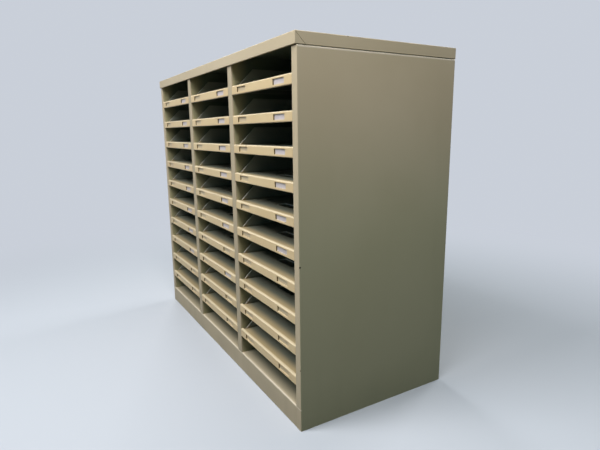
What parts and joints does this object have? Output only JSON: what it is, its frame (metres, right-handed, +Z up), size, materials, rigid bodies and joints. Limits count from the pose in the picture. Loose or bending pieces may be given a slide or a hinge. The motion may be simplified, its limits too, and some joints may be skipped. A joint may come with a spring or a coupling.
{
  "type": "pigeonhole mail sorter",
  "caption": "Free-standing sheet-steel pigeonhole mail sorter: open columns of moulded pull-out trays with label pockets over a flush base rail, under a folded cap.",
  "frame": {"origin": "centre of the footprint on the floor", "axes": "+X along the width, towards the right as seen from the open front; +Y from the open front to the back panel; +Z up"},
  "size_m": [0.8, 0.348, 0.6753],
  "materials": {
    "casing_paint": "beige semi-matt enamel on folded steel sheet",
    "tray_plastic": "warm beige moulded plastic with a fine satin grain",
    "runner_steel": "beige enamel on folded steel angle, worn on the ledges"
  },
  "bodies": {
    "casing": {"top_cap": "casing_paint", "right_side_panel": "casing_paint", "left_side_panel": "casing_paint", "right_liner": "casing_paint", "left_liner": "casing_paint", "right_divider": "casing_paint", "left_divider": "casing_paint", "bottom_deck": "casing_paint", "deck_stiffeners": "casing_paint", "back_panel": "casing_paint", "left_tray_runners": "runner_steel", "middle_tray_runners": "runner_steel", "right_tray_runners": "runner_steel"},
    "slide_tray_left_01": {"tray_left_01": "tray_plastic"},
    "slide_tray_left_02": {"tray_left_02": "tray_plastic"},
    "slide_tray_left_03": {"tray_left_03": "tray_plastic"},
    "slide_tray_left_04": {"tray_left_04": "tray_plastic"},
    "slide_tray_left_05": {"tray_left_05": "tray_plastic"},
    "slide_tray_left_06": {"tray_left_06": "tray_plastic"},
    "slide_tray_left_07": {"tray_left_07": "tray_plastic"},
    "slide_tray_left_08": {"tray_left_08": "tray_plastic"},
    "slide_tray_left_09": {"tray_left_09": "tray_plastic"},
    "slide_tray_left_10": {"tray_left_10": "tray_plastic"},
    "slide_tray_middle_01": {"tray_middle_01": "tray_plastic"},
    "slide_tray_middle_02": {"tray_middle_02": "tray_plastic"},
    "slide_tray_middle_03": {"tray_middle_03": "tray_plastic"},
    "slide_tray_middle_04": {"tray_middle_04": "tray_plastic"},
    "slide_tray_middle_05": {"tray_middle_05": "tray_plastic"},
    "slide_tray_middle_06": {"tray_middle_06": "tray_plastic"},
    "slide_tray_middle_07": {"tray_middle_07": "tray_plastic"},
    "slide_tray_middle_08": {"tray_middle_08": "tray_plastic"},
    "slide_tray_middle_09": {"tray_middle_09": "tray_plastic"},
    "slide_tray_middle_10": {"tray_middle_10": "tray_plastic"},
    "slide_tray_right_01": {"tray_right_01": "tray_plastic"},
    "slide_tray_right_02": {"tray_right_02": "tray_plastic"},
    "slide_tray_right_03": {"tray_right_03": "tray_plastic"},
    "slide_tray_right_04": {"tray_right_04": "tray_plastic"},
    "slide_tray_right_05": {"tray_right_05": "tray_plastic"},
    "slide_tray_right_06": {"tray_right_06": "tray_plastic"},
    "slide_tray_right_07": {"tray_right_07": "tray_plastic"},
    "slide_tray_right_08": {"tray_right_08": "tray_plastic"},
    "slide_tray_right_09": {"tray_right_09": "tray_plastic"},
    "slide_tray_right_10": {"tray_right_10": "tray_plastic"}
  },
  "joints": [
    {"name": "tray_left_01_slide", "type": "slide", "parent": "casing", "child": "slide_tray_left_01", "axis": [0, -1, 0], "range_m": [0, 0.15]},
    {"name": "tray_left_02_slide", "type": "slide", "parent": "casing", "child": "slide_tray_left_02", "axis": [0, -1, 0], "range_m": [0, 0.15]},
    {"name": "tray_left_03_slide", "type": "slide", "parent": "casing", "child": "slide_tray_left_03", "axis": [0, -1, 0], "range_m": [0, 0.15]},
    {"name": "tray_left_04_slide", "type": "slide", "parent": "casing", "child": "slide_tray_left_04", "axis": [0, -1, 0], "range_m": [0, 0.15]},
    {"name": "tray_left_05_slide", "type": "slide", "parent": "casing", "child": "slide_tray_left_05", "axis": [0, -1, 0], "range_m": [0, 0.15]},
    {"name": "tray_left_06_slide", "type": "slide", "parent": "casing", "child": "slide_tray_left_06", "axis": [0, -1, 0], "range_m": [0, 0.15]},
    {"name": "tray_left_07_slide", "type": "slide", "parent": "casing", "child": "slide_tray_left_07", "axis": [0, -1, 0], "range_m": [0, 0.15]},
    {"name": "tray_left_08_slide", "type": "slide", "parent": "casing", "child": "slide_tray_left_08", "axis": [0, -1, 0], "range_m": [0, 0.15]},
    {"name": "tray_left_09_slide", "type": "slide", "parent": "casing", "child": "slide_tray_left_09", "axis": [0, -1, 0], "range_m": [0, 0.15]},
    {"name": "tray_left_10_slide", "type": "slide", "parent": "casing", "child": "slide_tray_left_10", "axis": [0, -1, 0], "range_m": [0, 0.15]},
    {"name": "tray_middle_01_slide", "type": "slide", "parent": "casing", "child": "slide_tray_middle_01", "axis": [0, -1, 0], "range_m": [0, 0.15]},
    {"name": "tray_middle_02_slide", "type": "slide", "parent": "casing", "child": "slide_tray_middle_02", "axis": [0, -1, 0], "range_m": [0, 0.15]},
    {"name": "tray_middle_03_slide", "type": "slide", "parent": "casing", "child": "slide_tray_middle_03", "axis": [0, -1, 0], "range_m": [0, 0.15]},
    {"name": "tray_middle_04_slide", "type": "slide", "parent": "casing", "child": "slide_tray_middle_04", "axis": [0, -1, 0], "range_m": [0, 0.15]},
    {"name": "tray_middle_05_slide", "type": "slide", "parent": "casing", "child": "slide_tray_middle_05", "axis": [0, -1, 0], "range_m": [0, 0.15]},
    {"name": "tray_middle_06_slide", "type": "slide", "parent": "casing", "child": "slide_tray_middle_06", "axis": [0, -1, 0], "range_m": [0, 0.15]},
    {"name": "tray_middle_07_slide", "type": "slide", "parent": "casing", "child": "slide_tray_middle_07", "axis": [0, -1, 0], "range_m": [0, 0.15]},
    {"name": "tray_middle_08_slide", "type": "slide", "parent": "casing", "child": "slide_tray_middle_08", "axis": [0, -1, 0], "range_m": [0, 0.15]},
    {"name": "tray_middle_09_slide", "type": "slide", "parent": "casing", "child": "slide_tray_middle_09", "axis": [0, -1, 0], "range_m": [0, 0.15]},
    {"name": "tray_middle_10_slide", "type": "slide", "parent": "casing", "child": "slide_tray_middle_10", "axis": [0, -1, 0], "range_m": [0, 0.15]},
    {"name": "tray_right_01_slide", "type": "slide", "parent": "casing", "child": "slide_tray_right_01", "axis": [0, -1, 0], "range_m": [0, 0.15]},
    {"name": "tray_right_02_slide", "type": "slide", "parent": "casing", "child": "slide_tray_right_02", "axis": [0, -1, 0], "range_m": [0, 0.15]},
    {"name": "tray_right_03_slide", "type": "slide", "parent": "casing", "child": "slide_tray_right_03", "axis": [0, -1, 0], "range_m": [0, 0.15]},
    {"name": "tray_right_04_slide", "type": "slide", "parent": "casing", "child": "slide_tray_right_04", "axis": [0, -1, 0], "range_m": [0, 0.15]},
    {"name": "tray_right_05_slide", "type": "slide", "parent": "casing", "child": "slide_tray_right_05", "axis": [0, -1, 0], "range_m": [0, 0.15]},
    {"name": "tray_right_06_slide", "type": "slide", "parent": "casing", "child": "slide_tray_right_06", "axis": [0, -1, 0], "range_m": [0, 0.15]},
    {"name": "tray_right_07_slide", "type": "slide", "parent": "casing", "child": "slide_tray_right_07", "axis": [0, -1, 0], "range_m": [0, 0.15]},
    {"name": "tray_right_08_slide", "type": "slide", "parent": "casing", "child": "slide_tray_right_08", "axis": [0, -1, 0], "range_m": [0, 0.15]},
    {"name": "tray_right_09_slide", "type": "slide", "parent": "casing", "child": "slide_tray_right_09", "axis": [0, -1, 0], "range_m": [0, 0.15]},
    {"name": "tray_right_10_slide", "type": "slide", "parent": "casing", "child": "slide_tray_right_10", "axis": [0, -1, 0], "range_m": [0, 0.15]}
  ]
}
